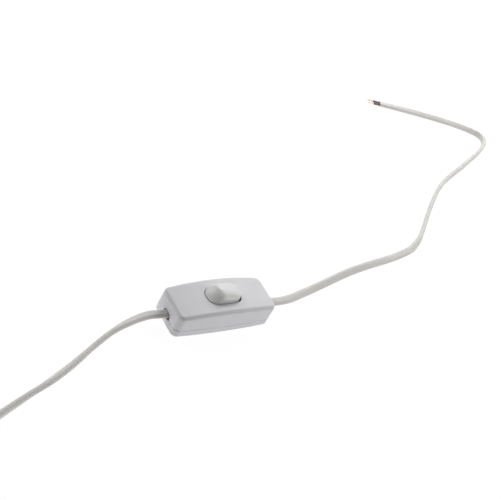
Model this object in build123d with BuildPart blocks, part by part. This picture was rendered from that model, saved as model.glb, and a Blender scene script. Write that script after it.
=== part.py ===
from build123d import *

import os
from math import cos, pi, radians, sin, sqrt, tan

# Switched lamp cord: an in-line rocker switch on a flat two-core cord, with its coil and plug.
# Millimetres. +X runs along the switch towards the lamp, +Z is up, and the origin is the middle
# of the switch's underside, on the surface that everything lies on.

# Housing
housing_length = 62.0
housing_width = 24.2
side_bow = 0.9
housing_height = 16.0
crown_rise = 2.2
corner_radius = 3.8
top_edge_radius = 2.0
bottom_edge_radius = 1.0
wall = 1.8
floor_thickness = 1.8
parting_height = 4.7
lip_height = 1.3
lip_thickness = 0.9
fit_clearance = 0.15
parting_bevel = 0.35

# Housing screws, on one diagonal
screw_boss_radius = 2.4
screw_boss_side_gap = 1.3
screw_boss_overlap = 0.1
housing_screw_radius = 1.1
housing_screw_head_radius = 2.2
housing_screw_head_height = 1.4
housing_screw_recess = 0.6
housing_screw_length = 8.5
thread_clearance = 0.03

# Rocker and its opening
opening_length = 21.8
opening_width = 12.6
opening_bow = 0.9
opening_corner = 5.2
rocker_end_gap = 0.95
rocker_side_gap = 0.5
rocker_wall = 1.5
rest_tilt = 8.0
pivot_height = 12.5
ridge_height = 8.9
ridge_offset = -3.0
left_slope = 34.0
right_slope = 18.0
ridge_softness = 0.9
skirt_height = 0.7
dome_share = 0.55
dome_margin = 0.4
dome_sweep = 180.0
ridge_stations = (-9.5, -6.2, -3.2, -1.0, 1.0, 3.8, 7.0, 10.4, 13.8)
trunnion_radius = 1.2
trunnion_clearance = 0.05
cheek_set_back = 0.15
cheek_thickness = 1.5
cheek_length = 6.4
cheek_drop = 2.0
stem_radius = 2.6
stem_drop = 4.4
web_thickness = 1.8
web_drop = 1.6

# Plunger and spring inside the rocker's stem
plunger_radius = 1.5
plunger_clearance = 0.1
plunger_length = 3.44
plunger_gap = 0.06
spring_seat = 1.0
spring_wire_radius = 0.2
spring_turns = 4

# See-saw contact
fulcrum_height = 5.6
seesaw_tilt = 5.0
seesaw_end_gap = 1.3
seesaw_width = 4.0
seesaw_thickness = 0.8
seesaw_pin_radius = 0.6
seesaw_pin_clearance = 0.05
contact_margin = 1.5
contact_radius = 1.4
contact_thickness = 0.5
contact_gap = 0.05
fulcrum_ear_thickness = 0.8
fulcrum_ear_gap = 0.2
fulcrum_ear_length = 2.8
fulcrum_ear_rise = 0.9

# Terminals
terminal_seat = 2.6
terminal_length = 4.6
terminal_width = 4.4
terminal_height = 5.6
terminal_spacing = 6.4
terminal_bore_radius = 1.0
strip_thickness = 0.8
neutral_strip_width = 1.2
terminal_screw_radius = 1.25
terminal_screw_head_radius = 1.9
terminal_screw_head_height = 1.4
barrier_thickness = 1.0
barrier_height = 7.6

# Cord
cord_width = 4.9
cord_thickness = 3.0
cord_height = 5.6
cord_hole_width = 7.0
cord_hole_height = 4.4
core_radius = 0.95
core_spacing = 2.0
core_run = 5.2
core_straight = 1.4
copper_radius = 0.5
copper_reach = 3.6
bend_share = 0.45

# Cord clamps
clamp_length = 5.0
clamp_thickness = 2.2
clamp_margin = 2.1
clamp_boss_gap = 0.4
clamp_screw_spacing = 9.8
clamp_screw_radius = 1.0
clamp_screw_head_radius = 1.9
clamp_screw_head_height = 1.4
clamp_screw_depth = 3.0
clamp_post_radius = 1.9
clamp_post_gap = 0.3
jacket_overhang = 0.5

# Routes of the cord that lies free, middle of the cord, from the switch outwards
left_route = [
    (-36.0, 0.0, 5.6), (-50.0, -0.7, 4.6), (-64.0, -4.6, 2.9), (-80.0, -12.8, 1.7), (-99.0, -23.2, 1.5),
    (-116.0, -31.0, 1.6), (-134.0, -39.3, 2.1), (-152.0, -47.8, 2.9), (-166.0, -54.0, 3.1),
]
right_route = [
    (36.0, 0.0, 5.6), (50.0, 0.6, 4.0), (66.0, 5.2, 2.0), (92.0, 12.2, 1.5), (121.0, 18.6, 1.5),
    (151.0, 22.8, 1.5), (175.0, 29.0, 1.5), (195.0, 43.6, 1.5), (222.0, 65.4, 1.5), (250.0, 85.0, 1.5),
    (285.0, 102.6, 1.5), (316.0, 117.5, 1.5), (334.0, 126.2, 1.5), (345.5, 135.5, 1.5), (343.0, 146.0, 1.5),
    (327.0, 152.2, 1.5), (306.0, 161.0, 1.5), (284.0, 168.9, 1.5), (269.0, 173.9, 1.5), (256.0, 178.1, 1.5),
]
tail_route = [
    (-212.6, -25.0, 8.1), (-213.5, -14.5, 7.9), (-212.8, -4.0, 6.85), (-212.8, 6.5, 6.85),
]

# Coil of the cord that the picture doesn't show, flat cord on its edge in two layers
coil_centre = (-184.4, -28.8)
coil_inner_radius = 19.3
coil_outer_radius = 32.2
coil_height = 10.0
coil_edge_radius = 1.4
tie_thickness = 0.6
tie_width = 5.0
tie_angle = 60.0
tie_slack = 0.2

# Two-pin plug
plug_width = 35.3
plug_thickness = 13.7
plug_waist_width = 15.0
plug_shoulder = 9.0
plug_length = 26.0
plug_corner_radius = 3.0
plug_edge_radius = 3.2
boot_length = 18.0
boot_root_width = 10.0
boot_root_thickness = 8.6
boot_end_width = 7.4
boot_end_thickness = 5.6
boot_slot_width = 1.4
boot_slot_depth = 1.1
boot_slot_pitch = 3.4
boot_slots = 4
pin_spacing = 18.6
pin_radius = 2.0
pin_root_radius = 1.5
pin_root_depth = 8.0
pin_length = 19.0
pin_tip_radius = 1.2
sleeve_radius = 1.8
sleeve_length = 10.0

# Stripped lamp end
lamp_core_length = 5.0
lamp_copper_length = 5.0
lamp_core_spread = 5.0

os.makedirs("parts", exist_ok=True)

# Places worked out from the sizes above
half_length = housing_length / 2
crown_radius = (half_length**2 + crown_rise**2) / (2 * crown_rise)
screw_x = half_length - wall - screw_boss_radius + screw_boss_overlap
screw_y = housing_width / 2 - wall - screw_boss_radius - screw_boss_side_gap
screw_spots = [(-screw_x, screw_y), (screw_x, -screw_y)]
clamp_x = screw_x - screw_boss_radius - clamp_boss_gap - clamp_length / 2
clamp_width = clamp_screw_spacing + 2 * clamp_margin
clamp_screw_y = clamp_screw_spacing / 2
clamp_spots = [(x, y) for x in (-clamp_x, clamp_x) for y in (-clamp_screw_y, clamp_screw_y)]
jacket_end = clamp_x - clamp_length / 2 - jacket_overhang
terminal_x = jacket_end - core_run - terminal_length / 2
terminal_inner = terminal_x - terminal_length / 2
terminal_outer = terminal_x + terminal_length / 2
terminal_y = terminal_spacing / 2
terminal_top = terminal_seat + terminal_height
terminal_spots = [(x, y) for x in (-terminal_x, terminal_x) for y in (-terminal_y, terminal_y)]
strip_top = terminal_seat + strip_thickness
seesaw_length = 2 * (terminal_inner - seesaw_end_gap)
contact_place = seesaw_length / 2 - contact_margin
cord_top = cord_height + cord_thickness / 2
cord_bottom = cord_height - cord_thickness / 2
ear_inner = seesaw_width / 2 + fulcrum_ear_gap
ear_outer = ear_inner + fulcrum_ear_thickness
cheek_inner = opening_width / 2 + cheek_set_back
cheek_outer = cheek_inner + cheek_thickness
rocker_length = opening_length - 2 * rocker_end_gap
rocker_width = opening_width - 2 * rocker_side_gap
plunger_reach = pivot_height - fulcrum_height - seesaw_thickness / 2 - plunger_gap
plunger_top = plunger_reach - plunger_length

# The rocker rests with its left end pressed, the see-saw with its right end down
rocker_frame = Plane(
    origin=(0, 0, pivot_height),
    x_dir=(cos(radians(rest_tilt)), 0, sin(radians(rest_tilt))),
    z_dir=(-sin(radians(rest_tilt)), 0, cos(radians(rest_tilt))),
)
rocker_side = Plane(origin=rocker_frame.origin, x_dir=rocker_frame.x_dir, z_dir=(0, -1, 0))
stem_axis = Axis(rocker_frame.origin, rocker_frame.z_dir)
seesaw_frame = Plane(
    origin=(0, 0, fulcrum_height),
    x_dir=(cos(radians(seesaw_tilt)), 0, -sin(radians(seesaw_tilt))),
    z_dir=(sin(radians(seesaw_tilt)), 0, cos(radians(seesaw_tilt))),
)


def bowed_plan(length, width, bow, corner):
    """An oval to box-like outline: long sides that bow out to the width, and round corners."""
    x = length / 2
    end = width / 2 - bow
    with BuildSketch() as plan:
        with BuildLine():
            ThreePointArc((-x, -end), (0, -width / 2), (x, -end))
            Line((x, -end), (x, end))
            ThreePointArc((x, end), (0, width / 2), (-x, end))
            Line((-x, end), (-x, -end))
        make_face()
        fillet(plan.vertices(), corner)
    return plan.sketch


def crowned_block(plan, bottom, top):
    """The plan raised from bottom to a top that is crowned along X and highest in the middle."""
    reach = half_length + wall
    fall = crown_radius - sqrt(crown_radius**2 - reach**2)
    with BuildPart() as block:
        with BuildSketch(Plane.XY.offset(bottom)):
            add(plan)
        extrude(amount=top - bottom)
        with BuildSketch(Plane.XZ):
            with BuildLine():
                crown = ThreePointArc((-reach, top - fall), (0, top), (reach, top - fall))
                Polyline(crown @ 1, (reach, bottom - wall), (-reach, bottom - wall), crown @ 0)
            make_face()
        extrude(amount=housing_width, both=True, mode=Mode.INTERSECT)
    return block.part


def rocker_form(plan, inset):
    """The rocker on a plan: a ridge that falls to both ends, domed from side to side, drawn in by inset."""
    half_width = rocker_width / 2 + dome_margin - inset
    with BuildPart() as form:
        for station in ridge_stations:
            slope = tan(radians(left_slope if station < 0 else right_slope))
            fall = slope * (sqrt(station**2 + ridge_softness**2) - ridge_softness)
            crest = ridge_height - fall - inset
            side = crest * dome_share
            middle = rocker_frame.from_local_coords((ridge_offset + station, 0, 0))
            section = Plane(origin=middle, x_dir=(0, 1, 0), z_dir=rocker_frame.x_dir)
            with BuildSketch(section):
                with BuildLine():
                    dome = EllipticalCenterArc((0, side), half_width, crest - side, 0, arc_size=dome_sweep)
                    Polyline(dome @ 1, (-half_width, skirt_height), (half_width, skirt_height), dome @ 0)
                make_face()
        loft()
        with BuildSketch(rocker_frame.offset(skirt_height)):
            add(plan)
        extrude(amount=ridge_height - skirt_height, mode=Mode.INTERSECT)
    return form.part


def bend_radii(route):
    """The largest arcs that the runs of a route leave room for, one for each inner point."""
    points = [Vector(*point) for point in route]
    radii = []
    for before, corner, after in zip(points, points[1:], points[2:]):
        arriving = corner - before
        leaving = after - corner
        half_turn = radians(arriving.get_angle(leaving)) / 2
        radii.append(bend_share * min(arriving.length, leaving.length) / tan(half_turn))
    return radii


def flat_cord(name, route):
    """A flat cord along straight runs joined by tangent arcs, lying on its wide side."""
    radii = bend_radii(route)
    with BuildPart() as cord:
        with BuildLine() as path:
            FilletPolyline(*route, radius=radii)
        line = path.wire()
        with BuildSketch(Plane(origin=line @ 0, x_dir=(0, 1, 0), z_dir=line % 0)):
            SlotOverall(cord_width, cord_thickness)
        sweep(path=line)
    section = cord_thickness * (cord_width - cord_thickness) + pi * cord_thickness**2 / 4
    share = cord.part.volume / (section * line.length)
    print(f"{name}: length {line.length:.0f}, volume over section times length {share:.4f}")
    print(f"{name}: arc radii {', '.join(f'{radius:.0f}' for radius in radii)}")
    return cord.part


def save(piece, name):
    """Label a finished piece and write it as its own file."""
    piece.label = name
    export_step(piece, f"parts/{name}.step")


housing_plan = bowed_plan(housing_length, housing_width, side_bow, corner_radius)
inner_corner = corner_radius - wall
cavity_plan = bowed_plan(housing_length - 2 * wall, housing_width - 2 * wall, side_bow, inner_corner)
lip_inset = wall + fit_clearance
lip_plan = bowed_plan(housing_length - 2 * lip_inset, housing_width - 2 * lip_inset, side_bow, inner_corner)
tray_inset = lip_inset + lip_thickness
tray_plan = bowed_plan(
    housing_length - 2 * tray_inset, housing_width - 2 * tray_inset, side_bow, inner_corner
)
opening_plan = bowed_plan(opening_length, opening_width, opening_bow, opening_corner)
rocker_plan = bowed_plan(rocker_length, rocker_width, opening_bow, opening_corner - rocker_side_gap)
hollow_plan = bowed_plan(
    rocker_length - 2 * rocker_wall,
    rocker_width - 2 * rocker_wall,
    opening_bow,
    opening_corner - rocker_side_gap - rocker_wall,
)
cover_block = crowned_block(housing_plan, parting_height, housing_height)
cover_cavity = crowned_block(cavity_plan, parting_height, housing_height - wall)
rocker_outside = rocker_form(rocker_plan, 0)
rocker_hollow = rocker_form(hollow_plan, rocker_wall)

# Top cover: crowned shell with the rocker's opening, its pivot cheeks and two screw bosses
with BuildPart() as top_cover:
    add(cover_block)
    fillet(top_cover.faces().sort_by(Axis.Z)[-1].edges(), top_edge_radius)
    chamfer(top_cover.faces().sort_by(Axis.Z)[0].edges(), parting_bevel)
    add(cover_cavity, mode=Mode.SUBTRACT)
    boss_top = housing_height - crown_rise - wall / 2
    with BuildSketch(Plane.XY.offset(parting_height)):
        with Locations(*screw_spots):
            Circle(screw_boss_radius)
    extrude(amount=boss_top - parting_height)
    with BuildSketch(Plane.XY.offset(parting_height)):
        with Locations(*screw_spots):
            Circle(housing_screw_radius + thread_clearance)
    extrude(amount=housing_screw_length, mode=Mode.SUBTRACT)
    cheek_bottom = pivot_height - cheek_drop
    with BuildSketch(Plane.XY.offset(cheek_bottom)):
        with Locations((0, cheek_inner + cheek_thickness / 2), (0, -cheek_inner - cheek_thickness / 2)):
            Rectangle(cheek_length, cheek_thickness)
    extrude(amount=housing_height - wall / 2 - cheek_bottom)
    with BuildSketch(Plane.XY.offset(pivot_height)):
        add(opening_plan)
    extrude(amount=housing_height - pivot_height, mode=Mode.SUBTRACT)
    slot_radius = trunnion_radius + trunnion_clearance
    with BuildSketch(Plane.XZ):
        with Locations((0, pivot_height)):
            Circle(slot_radius)
        with Locations((0, cheek_bottom)):
            Rectangle(2 * slot_radius, pivot_height - cheek_bottom, align=(Align.CENTER, Align.MIN))
    extrude(amount=cheek_outer + fit_clearance, both=True, mode=Mode.SUBTRACT)
    for side in (-1, 1):
        with BuildSketch(Plane.YZ.offset(side * half_length)):
            with Locations((0, cord_height)):
                SlotOverall(cord_hole_width, cord_hole_height)
        extrude(amount=-side * 2 * wall, mode=Mode.SUBTRACT)
save(top_cover.part, "top_cover")

# Base: shallow tray with a locating lip, screw seats, clamp posts and seats for the terminals
with BuildPart() as base:
    with BuildSketch():
        add(housing_plan)
    extrude(amount=parting_height)
    fillet(base.faces().sort_by(Axis.Z)[0].edges(), bottom_edge_radius)
    chamfer(base.faces().sort_by(Axis.Z)[-1].edges(), parting_bevel)
    with BuildSketch(Plane.XY.offset(parting_height)):
        add(lip_plan)
        with Locations(*screw_spots):
            Circle(screw_boss_radius + fit_clearance, mode=Mode.SUBTRACT)
    extrude(amount=lip_height)
    with BuildSketch(Plane.XY.offset(floor_thickness)):
        add(tray_plan)
    extrude(amount=parting_height + lip_height - floor_thickness, mode=Mode.SUBTRACT)
    with BuildSketch(Plane.XY.offset(floor_thickness)):
        with Locations(*screw_spots):
            Circle(screw_boss_radius)
    extrude(amount=parting_height - floor_thickness - thread_clearance)
    with BuildSketch(Plane.XY.offset(floor_thickness)):
        with Locations(*clamp_spots):
            Circle(clamp_post_radius)
    extrude(amount=cord_top - clamp_post_gap - floor_thickness)
    with BuildSketch(Plane.XY.offset(floor_thickness)):
        with Locations((-clamp_x, 0), (clamp_x, 0)):
            Rectangle(clamp_length, cord_width)
    extrude(amount=cord_bottom - floor_thickness)
    with BuildSketch(Plane.XY.offset(floor_thickness)):
        with Locations(*terminal_spots):
            Rectangle(terminal_length, terminal_width)
        Rectangle(fulcrum_ear_length, 2 * ear_outer)
        with Locations((contact_place, 0)):
            Circle(contact_radius)
    extrude(amount=terminal_seat - floor_thickness)
    with BuildSketch(Plane.XY.offset(floor_thickness)):
        with Locations((-terminal_x, 0), (terminal_x, 0)):
            Rectangle(terminal_length, barrier_thickness)
    extrude(amount=barrier_height - floor_thickness)
    with BuildSketch(Plane.XY.offset(floor_thickness + clamp_screw_depth / 2)):
        with Locations(*clamp_spots):
            Circle(clamp_screw_radius + thread_clearance)
    extrude(amount=cord_top, mode=Mode.SUBTRACT)
    with BuildSketch():
        with Locations(*screw_spots):
            Circle(housing_screw_head_radius + fit_clearance)
    extrude(amount=housing_screw_recess + housing_screw_head_height, mode=Mode.SUBTRACT)
    with BuildSketch():
        with Locations(*screw_spots):
            Circle(housing_screw_radius + fit_clearance)
    extrude(amount=parting_height, mode=Mode.SUBTRACT)
    for side in (-1, 1):
        with BuildSketch(Plane.YZ.offset(side * half_length)):
            with Locations((0, cord_height)):
                SlotOverall(cord_hole_width, cord_hole_height)
        extrude(amount=-side * (tray_inset + fit_clearance), mode=Mode.SUBTRACT)
save(base.part, "base")

# Rocker: hollow ridge with trunnions, and the stem that carries the plunger
web_width = rocker_width - rocker_wall
with BuildPart() as rocker:
    add(rocker_outside)
    with BuildPart(mode=Mode.SUBTRACT):
        add(rocker_hollow)
        with BuildSketch(rocker_frame):
            Circle(stem_radius)
            Rectangle(web_thickness, web_width)
        extrude(amount=ridge_height, mode=Mode.SUBTRACT)
    with BuildSketch(rocker_frame.offset(-stem_drop)):
        Circle(stem_radius)
    extrude(amount=stem_drop + skirt_height)
    with BuildSketch(rocker_frame.offset(-web_drop)):
        Rectangle(web_thickness, web_width)
    extrude(amount=web_drop + skirt_height)
    for side in (-1, 1):
        with BuildSketch(Plane.XZ.offset(-side * stem_radius)):
            with Locations((0, pivot_height)):
                Circle(trunnion_radius)
        extrude(amount=-side * (cheek_outer - stem_radius))
    with BuildSketch(rocker_frame.offset(-stem_drop)):
        Circle(plunger_radius + plunger_clearance)
    extrude(amount=stem_drop + spring_seat, mode=Mode.SUBTRACT)
save(rocker.part, "rocker")

# Plunger: round-nosed pin that the spring pushes out of the stem on to the see-saw
with BuildPart() as plunger:
    with BuildSketch(rocker_side):
        with BuildLine():
            nose = CenterArc((0, plunger_radius - plunger_reach), plunger_radius, -90, 90)
            Polyline(nose @ 1, (plunger_radius, -plunger_top), (0, -plunger_top), nose @ 0)
        make_face()
    revolve(axis=stem_axis)
save(plunger.part, "plunger")

# Plunger spring: round wire wound between the stem's seat and the plunger
spring_radius = plunger_radius - spring_wire_radius
spring_span = spring_seat + plunger_top - 2 * spring_wire_radius
with BuildPart() as plunger_spring:
    with BuildLine() as winding:
        Helix(
            spring_span / spring_turns,
            spring_span,
            spring_radius,
            center=rocker_frame.from_local_coords((0, 0, spring_wire_radius - plunger_top)),
            direction=rocker_frame.z_dir,
        )
    with BuildSketch(Plane(origin=winding.line @ 0, z_dir=winding.line % 0)):
        Circle(spring_wire_radius)
    sweep(path=winding.line, is_frenet=True)
save(plunger_spring.part, "plunger_spring")

# See-saw contact: brass blade with two pivot pins, and the contact button under its right end
with BuildPart() as seesaw_contact:
    with BuildSketch(seesaw_frame.offset(-seesaw_thickness / 2)):
        RectangleRounded(seesaw_length, seesaw_width, seesaw_width / 4)
    extrude(amount=seesaw_thickness)
    pin_inner = (seesaw_width - seesaw_thickness) / 2
    for side in (-1, 1):
        with BuildSketch(Plane.XZ.offset(-side * pin_inner)):
            with Locations((0, fulcrum_height)):
                Circle(seesaw_pin_radius)
        extrude(amount=-side * (ear_outer - pin_inner))
save(seesaw_contact.part, "seesaw_contact")

with BuildPart() as moving_contact:
    with BuildSketch(seesaw_frame.offset(-seesaw_thickness / 2)):
        with Locations((contact_place, 0)):
            Circle(contact_radius)
    extrude(amount=-contact_thickness)
save(moving_contact.part, "moving_contact")

contact_top = (
    fulcrum_height
    - (contact_place + contact_radius) * sin(radians(seesaw_tilt))
    - (seesaw_thickness / 2 + contact_thickness) * cos(radians(seesaw_tilt))
    - contact_gap
)
with BuildPart() as fixed_contact:
    with BuildSketch(Plane.XY.offset(strip_top)):
        with Locations((contact_place, 0)):
            Circle(contact_radius)
    extrude(amount=contact_top - strip_top)
save(fixed_contact.part, "fixed_contact")


def terminal_blocks(spots):
    """Brass blocks on the seats, each with a cross bore for the conductor and a screw hole."""
    with BuildPart() as blocks:
        with BuildSketch(Plane.XY.offset(terminal_seat)):
            with Locations(*spots):
                Rectangle(terminal_length, terminal_width)
        extrude(amount=terminal_height)
        for x, y in spots:
            with BuildSketch(Plane.YZ.offset(x)):
                with Locations((y, cord_height)):
                    Circle(terminal_bore_radius)
            extrude(amount=terminal_length / 2, both=True, mode=Mode.SUBTRACT)
        with BuildSketch(Plane.XY.offset(cord_height)):
            with Locations(*spots):
                Circle(terminal_screw_radius + thread_clearance)
        extrude(amount=terminal_top - cord_height, mode=Mode.SUBTRACT)
    return blocks.part


# Fulcrum terminal: the live block, its strip and the two notched ears that carry the see-saw
live_block = terminal_blocks([(-terminal_x, -terminal_y)])
with BuildPart() as fulcrum_terminal:
    add(live_block)
    with BuildSketch(Plane.XY.offset(terminal_seat)):
        with Locations((-terminal_inner, 0)):
            Rectangle(
                terminal_inner + fulcrum_ear_length / 2, 2 * ear_outer, align=(Align.MIN, Align.CENTER)
            )
    extrude(amount=strip_thickness)
    ear_middle = (ear_inner + ear_outer) / 2
    with BuildSketch(Plane.XY.offset(strip_top)):
        with Locations((0, ear_middle), (0, -ear_middle)):
            Rectangle(fulcrum_ear_length, fulcrum_ear_thickness)
    extrude(amount=fulcrum_height + fulcrum_ear_rise - strip_top)
    notch_radius = seesaw_pin_radius + seesaw_pin_clearance
    with BuildSketch(Plane.XZ):
        with Locations((0, fulcrum_height)):
            Circle(notch_radius)
            Rectangle(2 * notch_radius, 2 * fulcrum_ear_rise, align=(Align.CENTER, Align.MIN))
    extrude(amount=ear_outer, both=True, mode=Mode.SUBTRACT)
save(fulcrum_terminal.part, "fulcrum_terminal")

# Contact terminal: the switched block and the strip that carries the fixed contact
switched_block = terminal_blocks([(terminal_x, -terminal_y)])
with BuildPart() as contact_terminal:
    add(switched_block)
    with BuildSketch(Plane.XY.offset(terminal_seat)):
        with Locations((terminal_inner, 0)):
            Rectangle(
                terminal_inner - contact_place + contact_radius,
                seesaw_width,
                align=(Align.MAX, Align.CENTER),
            )
    extrude(amount=strip_thickness)
save(contact_terminal.part, "contact_terminal")

# Neutral link: two blocks joined by a strip that passes beside the mechanism
neutral_blocks = terminal_blocks([(-terminal_x, terminal_y), (terminal_x, terminal_y)])
with BuildPart() as neutral_link:
    add(neutral_blocks)
    with BuildSketch(Plane.XY.offset(terminal_seat)):
        with Locations((0, terminal_y + terminal_width / 2)):
            Rectangle(2 * terminal_inner, neutral_strip_width, align=(Align.CENTER, Align.MAX))
    extrude(amount=strip_thickness)
save(neutral_link.part, "neutral_link")

# Screws: each kind is one group of separate screws
with BuildPart() as terminal_screws:
    with BuildSketch(Plane.XY.offset(cord_height + copper_radius + thread_clearance)):
        with Locations(*terminal_spots):
            Circle(terminal_screw_radius)
    extrude(amount=terminal_top - cord_height - copper_radius - thread_clearance)
    with BuildSketch(Plane.XY.offset(terminal_top)):
        with Locations(*terminal_spots):
            Circle(terminal_screw_head_radius)
    extrude(amount=terminal_screw_head_height)
save(terminal_screws.part, "terminal_screws")

clamp_top = cord_top + clamp_thickness
with BuildPart() as clamp_screws:
    with BuildSketch(Plane.XY.offset(floor_thickness + clamp_screw_depth / 2)):
        with Locations(*clamp_spots):
            Circle(clamp_screw_radius)
    extrude(amount=clamp_top - floor_thickness - clamp_screw_depth / 2)
    with BuildSketch(Plane.XY.offset(clamp_top)):
        with Locations(*clamp_spots):
            Circle(clamp_screw_head_radius)
    extrude(amount=clamp_screw_head_height)
save(clamp_screws.part, "clamp_screws")

with BuildPart() as housing_screws:
    with BuildSketch(Plane.XY.offset(housing_screw_recess)):
        with Locations(*screw_spots):
            Circle(housing_screw_head_radius)
    extrude(amount=housing_screw_head_height)
    with BuildSketch(Plane.XY.offset(housing_screw_recess + housing_screw_head_height)):
        with Locations(*screw_spots):
            Circle(housing_screw_radius)
    extrude(amount=housing_screw_length)
save(housing_screws.part, "housing_screws")

# Cord clamps: bars that the clamp screws pull down on to the cord
for name, x in (("cord_clamp_left", -clamp_x), ("cord_clamp_right", clamp_x)):
    with BuildPart() as clamp:
        with BuildSketch(Plane.XY.offset(cord_top)):
            with Locations((x, 0)):
                RectangleRounded(clamp_length, clamp_width, clamp_length / 4)
            with Locations((x, -clamp_screw_y), (x, clamp_screw_y)):
                Circle(clamp_screw_radius + fit_clearance, mode=Mode.SUBTRACT)
        extrude(amount=clamp_thickness)
    save(clamp.part, name)


def core_pair(y):
    """One core on each side, from the cut jacket to its terminal block."""
    side_y = core_spacing / 2 if y > 0 else -core_spacing / 2
    with BuildPart() as cores:
        for side in (-1, 1):
            route = [
                (side * jacket_end, side_y, cord_height),
                (side * (jacket_end - core_straight), side_y, cord_height),
                (side * (terminal_outer + core_straight), y, cord_height),
                (side * terminal_outer, y, cord_height),
            ]
            with BuildLine() as path:
                FilletPolyline(*route, radius=bend_radii(route))
            with BuildSketch(Plane(origin=path.line @ 0, z_dir=path.line % 0)):
                Circle(core_radius)
            sweep(path=path.line)
    return cores.part


# Cores inside the switch and their bare ends in the terminal blocks
save(core_pair(-terminal_y), "live_cores")
save(core_pair(terminal_y), "neutral_cores")
with BuildPart() as conductor_ends:
    for side in (-1, 1):
        with BuildSketch(Plane.YZ.offset(side * terminal_outer)):
            with Locations((-terminal_y, cord_height), (terminal_y, cord_height)):
                Circle(copper_radius)
        extrude(amount=-side * copper_reach)
save(conductor_ends.part, "conductor_ends")

# Cord that lies free: from the cut jacket out through the end walls
cord_left = flat_cord("cord_left", [(-jacket_end, 0, cord_height)] + left_route)
save(cord_left, "cord_left")
cord_right = flat_cord("cord_right", [(jacket_end, 0, cord_height)] + right_route)
save(cord_right, "cord_right")
plug_tail = flat_cord("plug_tail", tail_route)
save(plug_tail, "plug_tail")

# Coil and its tie
coil_x, coil_y = coil_centre
coil_middle = (coil_inner_radius + coil_outer_radius) / 2
coil_wound = coil_outer_radius - coil_inner_radius
coil_z = tie_thickness + coil_height / 2
with BuildPart() as cord_coil:
    with BuildSketch(Plane.XZ.offset(-coil_y)):
        with Locations((coil_x + coil_middle, coil_z)):
            RectangleRounded(coil_wound, coil_height, coil_edge_radius)
    revolve(axis=Axis((coil_x, coil_y, 0), (0, 0, 1)))
save(cord_coil.part, "cord_coil")

tie_out = Vector(cos(radians(tie_angle)), sin(radians(tie_angle)), 0)
tie_plane = Plane(
    origin=Vector(coil_x, coil_y, coil_z) + tie_out * coil_middle,
    x_dir=tie_out,
    z_dir=(-tie_out.Y, tie_out.X, 0),
)
with BuildPart() as coil_tie:
    with BuildSketch(tie_plane):
        band_width = coil_wound + 2 * tie_slack
        RectangleRounded(band_width + 2 * tie_thickness, coil_height + 2 * tie_thickness, coil_edge_radius)
        RectangleRounded(band_width, coil_height, coil_edge_radius - tie_thickness, mode=Mode.SUBTRACT)
    extrude(amount=tie_width / 2, both=True)
save(coil_tie.part, "coil_tie")

# Plug: flat moulded body with a slotted boot, lying on the surface and pointing away in +Y
plug_x, plug_boot_y, plug_z = tail_route[-1]
plug_waist_y = plug_boot_y + boot_length
plug_face_y = plug_waist_y + plug_length
with BuildPart() as plug_body:
    with BuildSketch():
        with BuildLine():
            Polyline(
                (plug_x - plug_width / 2, plug_face_y),
                (plug_x - plug_width / 2, plug_face_y - plug_shoulder),
                (plug_x - plug_waist_width / 2, plug_waist_y),
                (plug_x + plug_waist_width / 2, plug_waist_y),
                (plug_x + plug_width / 2, plug_face_y - plug_shoulder),
                (plug_x + plug_width / 2, plug_face_y),
                close=True,
            )
        make_face()
    extrude(amount=plug_thickness)
    fillet(plug_body.edges().filter_by(Axis.Z), plug_corner_radius)
    fillet(plug_body.faces().filter_by(Axis.Z).edges(), plug_edge_radius)
    with BuildSketch(Plane.XZ.offset(-plug_waist_y - plug_edge_radius)):
        with Locations((plug_x, plug_z)):
            SlotOverall(boot_root_width, boot_root_thickness)
    with BuildSketch(Plane.XZ.offset(-plug_boot_y)):
        with Locations((plug_x, plug_z)):
            SlotOverall(boot_end_width, boot_end_thickness)
    loft()
    for index in range(boot_slots):
        slot_y = plug_boot_y + boot_slot_pitch * (index + 1)
        for side in (-1, 1):
            with BuildSketch(Plane.XY.offset(plug_z)):
                with Locations((plug_x + side * boot_end_width / 2, slot_y)):
                    Rectangle(2 * boot_slot_depth, boot_slot_width)
            extrude(amount=boot_root_thickness / 2, both=True, mode=Mode.SUBTRACT)
    for side in (-1, 1):
        with BuildSketch(Plane.XZ.offset(-plug_face_y)):
            with Locations((plug_x + side * pin_spacing / 2, plug_z)):
                Circle(pin_root_radius)
        extrude(amount=pin_root_depth, mode=Mode.SUBTRACT)
save(plug_body.part, "plug_body")

with BuildPart() as plug_pins:
    for side in (-1, 1):
        pin_x = plug_x + side * pin_spacing / 2
        with BuildSketch(Plane.XY.offset(plug_z)):
            with BuildLine():
                Polyline(
                    (pin_x, plug_face_y - pin_root_depth),
                    (pin_x + pin_root_radius, plug_face_y - pin_root_depth),
                    (pin_x + pin_root_radius, plug_face_y + sleeve_length),
                    (pin_x + pin_radius, plug_face_y + sleeve_length),
                    (pin_x + pin_radius, plug_face_y + pin_length - pin_tip_radius),
                )
                TangentArc(
                    (pin_x + pin_radius, plug_face_y + pin_length - pin_tip_radius),
                    (pin_x + pin_radius - pin_tip_radius, plug_face_y + pin_length),
                    tangent=(0, 1),
                )
                Polyline(
                    (pin_x + pin_radius - pin_tip_radius, plug_face_y + pin_length),
                    (pin_x, plug_face_y + pin_length),
                    (pin_x, plug_face_y - pin_root_depth),
                )
            make_face()
        revolve(axis=Axis((pin_x, 0, plug_z), (0, 1, 0)))
save(plug_pins.part, "plug_pins")

with BuildPart() as plug_sleeves:
    with BuildSketch(Plane.XZ.offset(-plug_face_y)):
        with Locations((plug_x - pin_spacing / 2, plug_z), (plug_x + pin_spacing / 2, plug_z)):
            Circle(sleeve_radius)
            Circle(pin_root_radius, mode=Mode.SUBTRACT)
    extrude(amount=-sleeve_length)
save(plug_sleeves.part, "plug_sleeves")

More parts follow.
